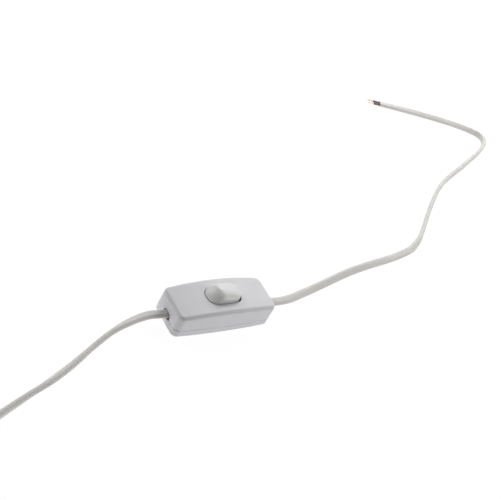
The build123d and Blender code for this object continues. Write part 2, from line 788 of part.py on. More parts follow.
# Stripped lamp end: two cores that spread a little, each with its bare copper
lamp_end = Vector(*right_route[-1])
lamp_heading = (lamp_end - Vector(*right_route[-2])).normalized()
lamp_across = Vector(-lamp_heading.Y, lamp_heading.X, 0)
lean = core_radius * sin(radians(lamp_core_spread))
copper_planes = []
for name, side in (("lamp_live_core", 1), ("lamp_neutral_core", -1)):
    root = lamp_end + lamp_across * (side * core_spacing / 2) + lamp_heading * lean
    heading = lamp_heading.rotate(Axis.Z, side * lamp_core_spread)
    with BuildPart() as lamp_core:
        with BuildSketch(Plane(origin=root, z_dir=heading)):
            Circle(core_radius)
        extrude(amount=lamp_core_length)
    save(lamp_core.part, name)
    copper_planes.append(Plane(origin=root + heading * lamp_core_length, z_dir=heading))

with BuildPart() as lamp_copper_ends:
    for plane in copper_planes:
        with BuildSketch(plane):
            Circle(copper_radius)
        extrude(amount=lamp_copper_length)
save(lamp_copper_ends.part, "lamp_copper_ends")
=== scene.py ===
from math import cos, hypot, pi, radians, sin

import bmesh
import bpy
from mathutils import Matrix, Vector


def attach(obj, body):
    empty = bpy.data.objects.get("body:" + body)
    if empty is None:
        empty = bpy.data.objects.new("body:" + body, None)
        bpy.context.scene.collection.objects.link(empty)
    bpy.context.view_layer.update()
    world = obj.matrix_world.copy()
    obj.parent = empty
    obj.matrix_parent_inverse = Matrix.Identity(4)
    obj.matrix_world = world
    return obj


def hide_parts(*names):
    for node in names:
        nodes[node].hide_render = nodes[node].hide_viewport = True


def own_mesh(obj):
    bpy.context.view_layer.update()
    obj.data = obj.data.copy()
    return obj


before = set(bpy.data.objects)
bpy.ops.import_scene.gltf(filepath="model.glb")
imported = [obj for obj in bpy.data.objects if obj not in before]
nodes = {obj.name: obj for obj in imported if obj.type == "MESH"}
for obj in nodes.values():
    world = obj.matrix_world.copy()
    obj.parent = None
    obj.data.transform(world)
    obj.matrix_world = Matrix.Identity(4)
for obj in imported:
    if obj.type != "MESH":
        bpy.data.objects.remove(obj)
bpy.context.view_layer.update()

bl_info = {
    "name": "Switched lamp cord",
    "version": (1, 0, 0),
    "blender": (4, 5, 0),
    "location": "3D View > Sidebar > Lamp cord",
    "description": "Gives the switched lamp cord its finishes, free cords, small parts and stage",
    "category": "Object",
}

# Middle of the flat cord from the switch to the coil: x, y, z in metres and the turn of its
# wide side in degrees, where 90 and -90 lie flat and 0 stands on edge
PLUG_SIDE = [
    (-0.0186, 0.0, 0.0056, -90), (-0.0270, 0.0002, 0.0056, -90), (-0.0345, 0.0005, 0.0056, -88),
    (-0.0402, 0.0011, 0.0055, -82), (-0.0461, 0.0004, 0.0050, -72), (-0.0522, -0.0009, 0.0044, -60),
    (-0.0584, -0.0026, 0.0037, -42), (-0.0649, -0.0051, 0.0030, -20), (-0.0719, -0.0087, 0.0026, -12),
    (-0.0789, -0.0125, 0.00241, -14), (-0.0858, -0.0165, 0.00236, -26), (-0.0926, -0.0204, 0.00229, -34),
    (-0.0990, -0.0237, 0.00226, -37), (-0.1052, -0.0267, 0.00229, -34), (-0.1112, -0.0293, 0.00236, -25),
    (-0.1169, -0.0316, 0.00242, -14), (-0.1340, -0.0393, 0.0025, 0), (-0.1520, -0.0478, 0.0029, 0),
    (-0.1660, -0.0540, 0.00305, 0),
]

# From the top of the coil into the plug's boot
PLUG_TAIL = [
    (-0.2148, -0.0145, 0.0079, 20), (-0.2130, -0.004, 0.0071, 70), (-0.2128, 0.0068, 0.00685, 90),
]

# From the switch to the stripped lamp end
LAMP_SIDE = [
    (0.0186, 0.0, 0.0056, -90), (0.0300, -0.0003, 0.0056, -90), (0.0408, -0.0011, 0.0054, -84),
    (0.0527, 0.0006, 0.0040, -74), (0.0628, 0.0039, 0.0028, -68), (0.0726, 0.0065, 0.0021, -64),
    (0.0918, 0.0117, 0.00195, -62), (0.1113, 0.0168, 0.00193, -63), (0.1308, 0.0204, 0.00186, -68),
    (0.1509, 0.0234, 0.00175, -75), (0.1616, 0.0257, 0.00166, -80), (0.1736, 0.0287, 0.00175, -75),
    (0.1837, 0.0339, 0.00215, -46), (0.1929, 0.0402, 0.00239, -20), (0.2222, 0.0658, 0.00244, -8),
    (0.2480, 0.0852, 0.00244, -6), (0.2676, 0.0948, 0.00244, -10), (0.2857, 0.1027, 0.00244, -8),
    (0.3054, 0.1119, 0.00245, -4), (0.3251, 0.1213, 0.00245, 0), (0.3398, 0.1312, 0.00245, 4),
    (0.3418, 0.1404, 0.00237, 24), (0.3345, 0.1466, 0.00211, 50), (0.3258, 0.1521, 0.00198, 60),
    (0.3093, 0.1594, 0.00195, 62), (0.2915, 0.1660, 0.00192, 64), (0.2739, 0.1722, 0.00176, 74),
    (0.2660, 0.1748, 0.00157, 86), (0.2560, 0.1781, 0.0015, 90),
]

# How the coil is wound: its turns, the points of one turn, where it starts in degrees, the height of
# the lower layer and the lift to the upper one in metres, and the share of the way where it climbs
COIL_TURNS = 6 + 114 / 360
COIL_STEPS = 24
COIL_START = -66
COIL_LOW = 0.00305
COIL_LIFT = 0.00495
CLIMB_START = 0.47
CLIMB_SPAN = 0.06

# Corners nearer than the first are merged, and a cut joins corners nearer to it than the second, in metres
DOUBLE_GAP = 0.000001
CUT_GAP = 0.0000001

# Edges that bend less than this are shaded smooth, in degrees
SMOOTH_UNDER = 35

# A face points up where its normal's z is over this
POINTS_UP = 0.99

# How finely round shapes are divided: sides of an outline, and steps of one sweep
HEAD_SIDES = 48
HEAD_SEGMENTS = 4
THREAD_STEPS = 28
SPRING_SIDES = 14
SPRING_STEPS = 36
STRAND_SIDES = 12
STRAND_STEPS = 16

# Screws, in metres: places of their seats, whether the head hangs down, and each drive's turn
SCREWS = {
    "housing_screws": {
        "places": [(-0.0269, 0.0066, 0.002, 25), (0.0269, -0.0066, 0.002, -40)], "head_down": True,
        "head": 0.0022, "rise": 0.0014, "shank": 0.0011, "length": 0.0085, "turns": 9, "cross": True,
    },
    "clamp_screws": {
        "places": [
            (-0.0216, -0.0049, 0.0093, 15), (-0.0216, 0.0049, 0.0093, 70),
            (0.0216, -0.0049, 0.0093, 50), (0.0216, 0.0049, 0.0093, -20),
        ],
        "head_down": False,
        "head": 0.0019, "rise": 0.0014, "shank": 0.001, "length": 0.006, "turns": 9, "cross": True,
    },
    "terminal_screws": {
        "places": [
            (-0.0111, -0.0032, 0.0082, 35), (-0.0111, 0.0032, 0.0082, -10),
            (0.0111, -0.0032, 0.0082, 80), (0.0111, 0.0032, 0.0082, 20),
        ],
        "head_down": False,
        "head": 0.0019, "rise": 0.0014, "shank": 0.00125, "length": 0.00207, "turns": 4, "cross": False,
    },
}

# Shares that shape a screw's head: of its height, the rounding of its edge and the depth of its drive;
# of its flat top, the drive's reach; of its radius, half the drive's width; and what a cross narrows to
HEAD_ROUNDING = 0.35
DRIVE_DEPTH = 0.55
DRIVE_REACH = 0.8
DRIVE_HALF = 0.16
CROSS_TAPER = 0.6

# A face lies in the drive's reach where its middle is within this share of it
DRIVE_INSIDE = 0.97

# Shares that shape a screw's thread: of its radius, the core; of its pitch, one flank, the crest and
# how far below the tip its sweep starts
THREAD_CORE = 0.76
THREAD_FLANK = 0.4
THREAD_CREST = 0.2
THREAD_LEAD = 1.3

# The plunger's spring, in metres and degrees: the rocker's pivot, how far the stem leans, which way
# the plunger slides, how far along that the spring's seat is from the pivot, and the seat's place
PIVOT = (0, 0, 0.0125)
STEM_LEAN = -8
SEAT_RISE = 0.001

# Where the bare strands leave the lamp end's cores, and the way they point in degrees
STRAND_ROOTS = [(0.25074, 0.17829, 0.0015, 167.1), (0.251623, 0.181023, 0.0015, 157.1)]

# One strand has this many round it, so many radii away, and they twist by so many degrees
OUTER_STRANDS = 6
STRAND_SPACING = 2.05
STRAND_TWIST = 150

# Where the soft lamps hang, in metres
LAMPS = {
    "right lamp": (0.55, 0.25, 0.45),
    "back lamp": (0.35, 0.5, 0.45),
    "left lamp": (-0.45, 0.6, 0.4),
    "near lamp": (0.5, -0.35, 0.35),
}

# The floor lies just under the part, in metres, with its paper's tone and its glow's share of the look
FLOOR_LEVEL = -0.0001
PAPER_TONE = 0.85
GLOW_SHARE = 0.86

# The camera's sensor in millimetres, and the nearest that it sees in metres
SENSOR_WIDTH = 36.0
NEAREST_SEEN = 0.01

# Moulded finishes: the darker tone's share of the colour, the least and most roughness, how fine the
# grain is, and its depth in metres
MOULDED_FINISHES = {
    "housing plastic": {"shade": 0.97, "rough": (0.42, 0.5), "grain": 3000.0, "depth": 0.00003},
    "rocker plastic": {"shade": 0.98, "rough": (0.3, 0.38), "grain": 2200.0, "depth": 0.00002},
    "plunger plastic": {"shade": 0.95, "rough": (0.3, 0.4), "grain": 2600.0, "depth": 0.00001},
    "clamp plastic": {"shade": 0.93, "rough": (0.45, 0.6), "grain": 2400.0, "depth": 0.00002},
    "live insulation": {"shade": 0.85, "rough": (0.35, 0.5), "grain": 2400.0, "depth": 0.00001},
    "neutral insulation": {"shade": 0.85, "rough": (0.35, 0.5), "grain": 2400.0, "depth": 0.00001},
    "plug plastic": {"shade": 0.95, "rough": (0.45, 0.58), "grain": 2000.0, "depth": 0.00003},
    "sleeve plastic": {"shade": 0.8, "rough": (0.35, 0.5), "grain": 2000.0, "depth": 0.00002},
    "tie plastic": {"shade": 0.94, "rough": (0.4, 0.55), "grain": 1500.0, "depth": 0.00003},
    "cord jacket": {"shade": 0.95, "rough": (0.45, 0.55), "grain": 1800.0, "depth": 0.00001},
}

# On every moulded finish: how fine the drift of tone is, and how strongly the grain shows
MOULD_DRIFT = 90.0
GRAIN_STRENGTH = 0.35

# Metal finishes: the least and most roughness, and how fine the drawn lines are
METAL_FINISHES = {
    "contact silver": {"rough": (0.15, 0.3), "lines": 1800.0},
    "stamped brass": {"rough": (0.22, 0.4), "lines": 900.0},
    "spring wire": {"rough": (0.25, 0.4), "lines": 2500.0},
    "drawn copper": {"rough": (0.2, 0.35), "lines": 2500.0},
    "zinc plate": {"rough": (0.25, 0.42), "lines": 1500.0},
    "bare copper": {"rough": (0.2, 0.35), "lines": 2500.0},
    "nickel plate": {"rough": (0.1, 0.22), "lines": 1200.0},
}

# On every metal: the tarnish's share of the colour and how fine it is, and how strongly the lines
# show and their depth in metres
TARNISH = 0.8
TARNISH_DRIFT = 400.0
LINE_STRENGTH = 0.2
LINE_DEPTH = 0.00001

# Where a Mix node has its colour sockets, whose names its other kinds of socket share
MIX_FACTOR = 0
MIX_FIRST = 6
MIX_SECOND = 7
MIX_RESULT = 2


class LampCordColours(bpy.types.PropertyGroup):
    """Colours of the finishes"""

    housing: bpy.props.FloatVectorProperty(
        name="Housing", description="Moulded cover and base", subtype="COLOR",
        default=(0.715, 0.715, 0.745), min=0, max=1,
    )
    rocker: bpy.props.FloatVectorProperty(
        name="Rocker", description="Moulded rocker", subtype="COLOR",
        default=(0.78, 0.79, 0.765), min=0, max=1,
    )
    cord: bpy.props.FloatVectorProperty(
        name="Cord", description="Jacket of the flat cord", subtype="COLOR",
        default=(0.72, 0.70, 0.675), min=0, max=1,
    )
    plug: bpy.props.FloatVectorProperty(
        name="Plug", description="Moulded plug and its boot", subtype="COLOR",
        default=(0.74, 0.735, 0.72), min=0, max=1,
    )
    tie: bpy.props.FloatVectorProperty(
        name="Tie", description="Band that holds the coil", subtype="COLOR",
        default=(0.78, 0.78, 0.78), min=0, max=1,
    )
    clamp: bpy.props.FloatVectorProperty(
        name="Clamps", description="Cord clamps and the plunger", subtype="COLOR",
        default=(0.74, 0.73, 0.7), min=0, max=1,
    )
    sleeve: bpy.props.FloatVectorProperty(
        name="Pin sleeves", description="Insulation on the plug's pins", subtype="COLOR",
        default=(0.05, 0.05, 0.055), min=0, max=1,
    )
    live: bpy.props.FloatVectorProperty(
        name="Live core", description="Insulation of the live core", subtype="COLOR",
        default=(0.2, 0.09, 0.04), min=0, max=1,
    )
    neutral: bpy.props.FloatVectorProperty(
        name="Neutral core", description="Insulation of the neutral core", subtype="COLOR",
        default=(0.08, 0.2, 0.55), min=0, max=1,
    )
    brass: bpy.props.FloatVectorProperty(
        name="Brass", description="Stamped terminals and the see-saw", subtype="COLOR",
        default=(0.8, 0.62, 0.32), min=0, max=1,
    )
    copper: bpy.props.FloatVectorProperty(
        name="Copper", description="Bare strands", subtype="COLOR",
        default=(0.82, 0.46, 0.3), min=0, max=1,
    )
    silver: bpy.props.FloatVectorProperty(
        name="Contacts", description="Contact buttons", subtype="COLOR",
        default=(0.86, 0.85, 0.82), min=0, max=1,
    )
    steel: bpy.props.FloatVectorProperty(
        name="Screws", description="Zinc plated screws", subtype="COLOR",
        default=(0.66, 0.66, 0.65), min=0, max=1,
    )
    spring: bpy.props.FloatVectorProperty(
        name="Spring", description="Drawn spring wire", subtype="COLOR",
        default=(0.5, 0.5, 0.52), min=0, max=1,
    )
    nickel: bpy.props.FloatVectorProperty(
        name="Pins", description="Nickel plated pins", subtype="COLOR",
        default=(0.78, 0.76, 0.72), min=0, max=1,
    )


class LampCordSizes(bpy.types.PropertyGroup):
    """Sizes of the pieces that are made here"""

    cord_width: bpy.props.FloatProperty(
        name="Cord width", description="Wide side of the flat cord", default=0.0049, unit="LENGTH",
    )
    cord_thickness: bpy.props.FloatProperty(
        name="Cord thickness", description="Narrow side of the flat cord", default=0.003, unit="LENGTH",
    )
    coil_centre: bpy.props.FloatVectorProperty(
        name="Coil centre", description="Middle of the put-away coil", size=2,
        default=(-0.1844, -0.0288), unit="LENGTH",
    )
    coil_outer: bpy.props.FloatProperty(
        name="Outer turn", description="Radius of the outermost turn", default=0.0305, unit="LENGTH",
    )
    coil_inner: bpy.props.FloatProperty(
        name="Inner turn", description="Radius of the innermost turn", default=0.0209, unit="LENGTH",
    )
    spring_radius: bpy.props.FloatProperty(
        name="Spring radius", description="Radius at the middle of the wire", default=0.0013, unit="LENGTH",
    )
    spring_wire: bpy.props.FloatProperty(
        name="Spring wire", description="Radius of the spring's wire", default=0.0002, unit="LENGTH",
    )
    spring_pitch: bpy.props.FloatProperty(
        name="Spring pitch", description="Rise of one turn at rest", default=0.0009, unit="LENGTH",
    )
    spring_turns: bpy.props.IntProperty(
        name="Spring turns", description="How often the wire goes round", default=4,
    )
    strand_radius: bpy.props.FloatProperty(
        name="Strand", description="Radius of one copper strand", default=0.00016, unit="LENGTH",
    )
    strand_length: bpy.props.FloatProperty(
        name="Bare length", description="Length of the bare strands", default=0.005, unit="LENGTH",
    )


class LampCordStage(bpy.types.PropertyGroup):
    """Camera, floor and light"""

    camera_place: bpy.props.FloatVectorProperty(
        name="Camera place", description="Where the camera stands", size=3, unit="LENGTH",
        default=(-0.304826, -0.256754, 0.351995), precision=6,
    )
    camera_turn: bpy.props.FloatVectorProperty(
        name="Camera turn", description="How the camera is turned", size=3, subtype="EULER",
        default=(radians(48.647), radians(-23.9212), radians(-30.2571)),
    )
    camera_lens: bpy.props.FloatProperty(
        name="Lens", description="Focal length in millimetres on a 36 mm sensor", default=72.0,
    )
    floor_size: bpy.props.FloatProperty(
        name="Floor", description="Side of the floor", default=6.0, unit="LENGTH",
    )
    room: bpy.props.FloatProperty(
        name="Room", description="Light that the plain room gives from all round", default=0.06,
    )
    room_white: bpy.props.FloatProperty(
        name="Room white", description="White of the room where it is seen or mirrored", default=1.0,
    )
    table: bpy.props.FloatProperty(
        name="Table", description="Glow that the white table gives the object", default=1.06,
    )
    table_white: bpy.props.FloatProperty(
        name="Table white", description="White of the table where it is seen or mirrored", default=1.1,
    )
    lamp_size: bpy.props.FloatProperty(
        name="Lamp size", description="Width of each soft lamp", default=0.5, unit="LENGTH",
    )
    lamp_powers: bpy.props.FloatVectorProperty(
        name="Lamp powers", description="Right, back, left and near lamp, in watts", size=4,
        default=(1.24, 1.91, 2.6, 1.64),
    )


def noise_group(name, result, detail, roughness):
    """A node group round a noise that takes its scale, whose place and result are still to be linked."""
    tree = bpy.data.node_groups.new(name, "ShaderNodeTree")
    tree.interface.new_socket("Vector", in_out="INPUT", socket_type="NodeSocketVector")
    tree.interface.new_socket("Scale", in_out="INPUT", socket_type="NodeSocketFloat")
    tree.interface.new_socket(result, in_out="OUTPUT", socket_type="NodeSocketFloat")
    entry = tree.nodes.new("NodeGroupInput")
    leave = tree.nodes.new("NodeGroupOutput")
    noise = tree.nodes.new("ShaderNodeTexNoise")
    noise.inputs["Detail"].default_value = detail
    noise.inputs["Roughness"].default_value = roughness
    tree.links.new(entry.outputs["Scale"], noise.inputs["Scale"])
    return tree, entry, noise, leave


def grain_group():
    """Fine grain of a moulded surface, as a height."""
    tree, entry, noise, leave = noise_group("Mould grain", "Height", detail=3.0, roughness=0.55)
    tree.links.new(entry.outputs["Vector"], noise.inputs["Vector"])
    tree.links.new(noise.outputs["Fac"], leave.inputs["Height"])


def drift_group():
    """Slow change of tone over a surface, as a mask from 0 to 1."""
    tree, entry, noise, leave = noise_group("Tone drift", "Mask", detail=2.0, roughness=0.5)
    spread = tree.nodes.new("ShaderNodeMapRange")
    spread.inputs["From Min"].default_value = 0.3
    spread.inputs["From Max"].default_value = 0.7
    tree.links.new(entry.outputs["Vector"], noise.inputs["Vector"])
    tree.links.new(noise.outputs["Fac"], spread.inputs["Value"])
    tree.links.new(spread.outputs["Result"], leave.inputs["Mask"])


def drawn_group():
    """Fine lines that drawing or rolling leaves along a metal, as a mask from 0 to 1."""
    tree, entry, noise, leave = noise_group("Drawn lines", "Mask", detail=4.0, roughness=0.65)
    stretch = tree.nodes.new("ShaderNodeMapping")
    stretch.inputs["Scale"].default_value = (0.06, 1.0, 1.0)
    tree.links.new(entry.outputs["Vector"], stretch.inputs["Vector"])
    tree.links.new(stretch.outputs["Vector"], noise.inputs["Vector"])
    tree.links.new(noise.outputs["Fac"], leave.inputs["Mask"])


def place_group(tree, name, place, scale):
    """A node group in a material, on the piece's own coordinates."""
    node = tree.nodes.new("ShaderNodeGroup")
    node.node_tree = bpy.data.node_groups[name]
    tree.links.new(place.outputs["Object"], node.inputs["Vector"])
    node.inputs["Scale"].default_value = scale
    return node


def toned(name, colour, shade, fineness):
    """A material whose colour drifts to a darker share of it, with its coordinates and its drift."""
    material = bpy.data.materials.new(name)
    material.use_nodes = True
    tree = material.node_tree
    place = tree.nodes.new("ShaderNodeTexCoord")
    drift = place_group(tree, "Tone drift", place, fineness)
    tone = tree.nodes.new("ShaderNodeMix")
    tone.data_type = "RGBA"
    tone.inputs[MIX_FIRST].default_value = (*colour, 1)
    tone.inputs[MIX_SECOND].default_value = (*(shade * value for value in colour), 1)
    tree.links.new(drift.outputs["Mask"], tone.inputs[MIX_FACTOR])
    tree.links.new(tone.outputs[MIX_RESULT], tree.nodes["Principled BSDF"].inputs["Base Color"])
    return material, place, drift


def roughen(tree, mask, rough):
    """Let a mask take the roughness from its least to its most."""
    gloss = tree.nodes.new("ShaderNodeMapRange")
    gloss.inputs["To Min"].default_value = rough[0]
    gloss.inputs["To Max"].default_value = rough[1]
    tree.links.new(mask, gloss.inputs["Value"])
    tree.links.new(gloss.outputs["Result"], tree.nodes["Principled BSDF"].inputs["Roughness"])


def emboss(tree, height, strength, depth):
    """Let a height stand up from the surface."""
    bump = tree.nodes.new("ShaderNodeBump")
    bump.inputs["Strength"].default_value = strength
    bump.inputs["Distance"].default_value = depth
    tree.links.new(height, bump.inputs["Height"])
    tree.links.new(bump.outputs["Normal"], tree.nodes["Principled BSDF"].inputs["Normal"])


def moulded(name, colour):
    """A finish with grain, a slow drift of tone and a gloss that varies with it."""
    finish = MOULDED_FINISHES[name]
    material, place, drift = toned(name, colour, finish["shade"], MOULD_DRIFT)
    tree = material.node_tree
    grain = place_group(tree, "Mould grain", place, finish["grain"])
    roughen(tree, drift.outputs["Mask"], finish["rough"])
    emboss(tree, grain.outputs["Height"], GRAIN_STRENGTH, finish["depth"])
    return material


def metal(name, colour):
    """A bare or plated metal, with fine drawn lines and a slow tarnish."""
    finish = METAL_FINISHES[name]
    material, place, _ = toned(name, colour, TARNISH, TARNISH_DRIFT)
    tree = material.node_tree
    tree.nodes["Principled BSDF"].inputs["Metallic"].default_value = 1.0
    lines = place_group(tree, "Drawn lines", place, finish["lines"])
    roughen(tree, lines.outputs["Mask"], finish["rough"])
    emboss(tree, lines.outputs["Mask"], LINE_STRENGTH, LINE_DEPTH)
    return material


def dress(material, *names):
    """Give CAD nodes their finish."""
    for name in names:
        node = nodes[name]
        if not node.material_slots:
            node.data.materials.append(material)
        for slot in node.material_slots:
            slot.material = material


def only(*pieces):
    """Select these pieces and nothing else."""
    bpy.ops.object.select_all(action="DESELECT")
    for piece in pieces:
        piece.select_set(True)
    bpy.context.view_layer.objects.active = pieces[0]


def pick(piece, test):
    """In edit mode, select only the faces whose middle and normal pass the test."""
    bpy.ops.mesh.select_mode(type="FACE")
    bpy.ops.mesh.select_all(action="DESELECT")
    form = bmesh.from_edit_mesh(piece.data)
    form.normal_update()
    for face in form.faces:
        face.select_set(test(face.calc_center_median(), face.normal))
    bmesh.update_edit_mesh(piece.data)


def upward(middle, normal):
    """Whether a face points up, as a test for pick."""
    return normal.z > POINTS_UP


def close_up(piece):
    """Merge doubles, cap what is open, turn the faces outwards and leave edit mode."""
    only(piece)
    bpy.ops.object.mode_set(mode="EDIT")
    bpy.ops.mesh.select_all(action="SELECT")
    bpy.ops.mesh.remove_doubles(threshold=DOUBLE_GAP)
    bpy.ops.mesh.fill_holes(sides=0)
    bpy.ops.mesh.select_all(action="SELECT")
    bpy.ops.mesh.normals_make_consistent(inside=False)
    bpy.ops.object.mode_set(mode="OBJECT")


def sweep_up(piece, angle, rise, rounds, steps):
    """Sweep the piece's outline up along Z as it turns, and keep the result."""
    only(piece)
    sweep = piece.modifiers.new("sweep", "SCREW")
    sweep.angle = angle
    sweep.screw_offset = rise
    sweep.iterations = rounds
    sweep.steps = steps
    sweep.render_steps = steps
    bpy.ops.object.modifier_apply(modifier="sweep")
    close_up(piece)


def set_down(blank, name, places):
    """Copies of a blank at their places, joined as one piece: x, y, z and turn, an Euler in degrees."""
    copies = []
    for place, turn in places:
        piece = bpy.data.objects.new(name, blank.data.copy())
        bpy.context.scene.collection.objects.link(piece)
        piece.location = place
        piece.rotation_euler = [radians(angle) for angle in turn]
        copies.append(piece)
    bpy.data.objects.remove(blank)
    only(*copies)
    bpy.ops.object.transform_apply(location=True, rotation=True, scale=True)
    if len(copies) > 1:
        bpy.ops.object.join()
    bpy.ops.object.shade_smooth_by_angle(angle=radians(SMOOTH_UNDER))
    copies[0].name = name
    return copies[0]


class LAMPCORD_OT_housing(bpy.types.Operator):
    """Finish the cover and the base"""

    bl_idname = "lampcord.housing"
    bl_label = "Housing"

    def execute(self, context):
        colours = context.scene.lampcord_colours
        dress(moulded("housing plastic", colours.housing), "top_cover", "base")
        return {"FINISHED"}


class LAMPCORD_OT_rocker(bpy.types.Operator):
    """Finish the rocker"""

    bl_idname = "lampcord.rocker"
    bl_label = "Rocker"

    def execute(self, context):
        colours = context.scene.lampcord_colours
        dress(moulded("rocker plastic", colours.rocker), "rocker")
        return {"FINISHED"}


class LAMPCORD_OT_mechanism(bpy.types.Operator):
    """Finish the plunger, the see-saw, the contacts and the terminals"""

    bl_idname = "lampcord.mechanism"
    bl_label = "Mechanism"

    def execute(self, context):
        colours = context.scene.lampcord_colours
        dress(moulded("plunger plastic", colours.clamp), "plunger")
        dress(metal("contact silver", colours.silver), "moving_contact", "fixed_contact")
        brass = metal("stamped brass", colours.brass)
        dress(brass, "seesaw_contact", "fulcrum_terminal", "contact_terminal", "neutral_link")
        return {"FINISHED"}


class LAMPCORD_OT_spring(bpy.types.Operator):
    """Wind the plunger's spring at its rest length, and hang it on the rocker"""

    bl_idname = "lampcord.spring"
    bl_label = "Plunger spring"

    def execute(self, context):
        sizes = context.scene.lampcord_sizes
        span = sizes.spring_pitch * sizes.spring_turns
        foot = SEAT_RISE - sizes.spring_wire - span
        bpy.ops.object.select_all(action="DESELECT")
        bpy.ops.mesh.primitive_circle_add(
            vertices=SPRING_SIDES, radius=sizes.spring_wire, location=(sizes.spring_radius, 0, foot),
            rotation=(radians(90), 0, 0),
        )
        bpy.ops.object.transform_apply(location=True, rotation=True, scale=True)
        blank = context.active_object
        sweep_up(blank, 2 * pi, sizes.spring_pitch, sizes.spring_turns, SPRING_STEPS)
        spring = set_down(blank, "wound_spring", [(PIVOT, (0, STEM_LEAN, 0))])
        spring.data.materials.append(metal("spring wire", context.scene.lampcord_colours.spring))
        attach(spring, "rocker")
        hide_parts("plunger_spring")
        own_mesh(spring)
        return {"FINISHED"}


class LAMPCORD_OT_cores(bpy.types.Operator):
    """Finish the cord clamps, the cores and their ends in the terminals"""

    bl_idname = "lampcord.cores"
    bl_label = "Clamps and cores"

    def execute(self, context):
        colours = context.scene.lampcord_colours
        dress(moulded("clamp plastic", colours.clamp), "cord_clamp_left", "cord_clamp_right")
        dress(moulded("live insulation", colours.live), "live_cores", "lamp_live_core")
        dress(moulded("neutral insulation", colours.neutral), "neutral_cores", "lamp_neutral_core")
        dress(metal("drawn copper", colours.copper), "conductor_ends")
        return {"FINISHED"}


class LAMPCORD_OT_screws(bpy.types.Operator):
    """Make the housing, clamp and terminal screws"""

    bl_idname = "lampcord.screws"
    bl_label = "Screws"

    def execute(self, context):
        finish = metal("zinc plate", context.scene.lampcord_colours.steel)
        for node, kind in SCREWS.items():
            head = self.head(kind)
            thread = self.thread(kind)
            only(head, thread)
            bpy.ops.object.join()
            over = 180 if kind["head_down"] else 0
            places = [((x, y, z), (over, 0, turn)) for x, y, z, turn in kind["places"]]
            piece = set_down(head, node.replace("screws", "screw_set"), places)
            piece.data.materials.append(finish)
            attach(piece, "housing")
            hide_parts(node)
        return {"FINISHED"}

    def head(self, kind):
        """A rounded head that stands on the origin, with a slot or a cross in its top."""
        rise = kind["rise"]
        bpy.ops.object.select_all(action="DESELECT")
        bpy.ops.mesh.primitive_cylinder_add(
            vertices=HEAD_SIDES, radius=kind["head"], depth=rise, location=(0, 0, rise / 2)
        )
        bpy.ops.object.transform_apply(location=True, rotation=True, scale=True)
        head = bpy.context.active_object
        bpy.ops.object.mode_set(mode="EDIT")
        pick(head, upward)
        bpy.ops.mesh.bevel(offset=HEAD_ROUNDING * rise, segments=HEAD_SEGMENTS, affect="EDGES")
        flat = kind["head"] - HEAD_ROUNDING * rise
        reach = DRIVE_REACH * flat
        half = DRIVE_HALF * kind["head"]
        pick(head, upward)
        bpy.ops.mesh.inset(thickness=flat - reach)
        cuts = [(0, 1), (0, -1), (1, 1), (1, -1)] if kind["cross"] else [(1, 1), (1, -1)]

        def within(middle, normal):
            return upward(middle, normal) and hypot(middle.x, middle.y) < DRIVE_INSIDE * reach

        def driven(middle, normal):
            arm = abs(middle.y) < half or (kind["cross"] and abs(middle.x) < half)
            return arm and within(middle, normal)

        for axis, side in cuts:
            pick(head, within)
            across = [1 - axis, axis, 0]
            bpy.ops.mesh.bisect(
                plane_co=[side * half * value for value in across], plane_no=across, threshold=CUT_GAP
            )
        pick(head, driven)
        depth = DRIVE_DEPTH * rise
        bpy.ops.mesh.extrude_region_move(TRANSFORM_OT_translate={"value": (0, 0, -depth)})
        if kind["cross"]:
            bpy.ops.transform.resize(
                value=(CROSS_TAPER, CROSS_TAPER, 1), center_override=(0, 0, rise - depth)
            )
        bpy.ops.object.mode_set(mode="OBJECT")
        close_up(head)
        return head

    def thread(self, kind):
        """A thread below the origin, swept from the outline of one turn and cut flat at both ends."""
        pitch = kind["length"] / kind["turns"]
        core = THREAD_CORE * kind["shank"]
        depth = kind["shank"] - core
        bpy.ops.object.select_all(action="DESELECT")
        bpy.ops.mesh.primitive_plane_add(size=pitch)
        thread = bpy.context.active_object
        bpy.ops.object.mode_set(mode="EDIT")
        bpy.ops.mesh.select_mode(type="VERT")
        bpy.ops.mesh.merge(type="CENTER")
        bpy.ops.transform.translate(value=(core, 0, -kind["length"] - THREAD_LEAD * pitch))
        for out, up in ((depth, THREAD_FLANK), (0, THREAD_CREST), (-depth, THREAD_FLANK)):
            bpy.ops.mesh.extrude_region_move(TRANSFORM_OT_translate={"value": (out, 0, up * pitch)})
        bpy.ops.object.mode_set(mode="OBJECT")
        sweep_up(thread, 2 * pi, pitch, kind["turns"] + 2, THREAD_STEPS)
        bpy.ops.object.mode_set(mode="EDIT")
        for level, way in ((-kind["length"], -1), (0, 1)):
            bpy.ops.mesh.select_all(action="SELECT")
            bpy.ops.mesh.bisect(
                plane_co=(0, 0, level), plane_no=(0, 0, way), use_fill=True, clear_outer=True,
                threshold=CUT_GAP,
            )
        bpy.ops.object.mode_set(mode="OBJECT")
        close_up(thread)
        return thread


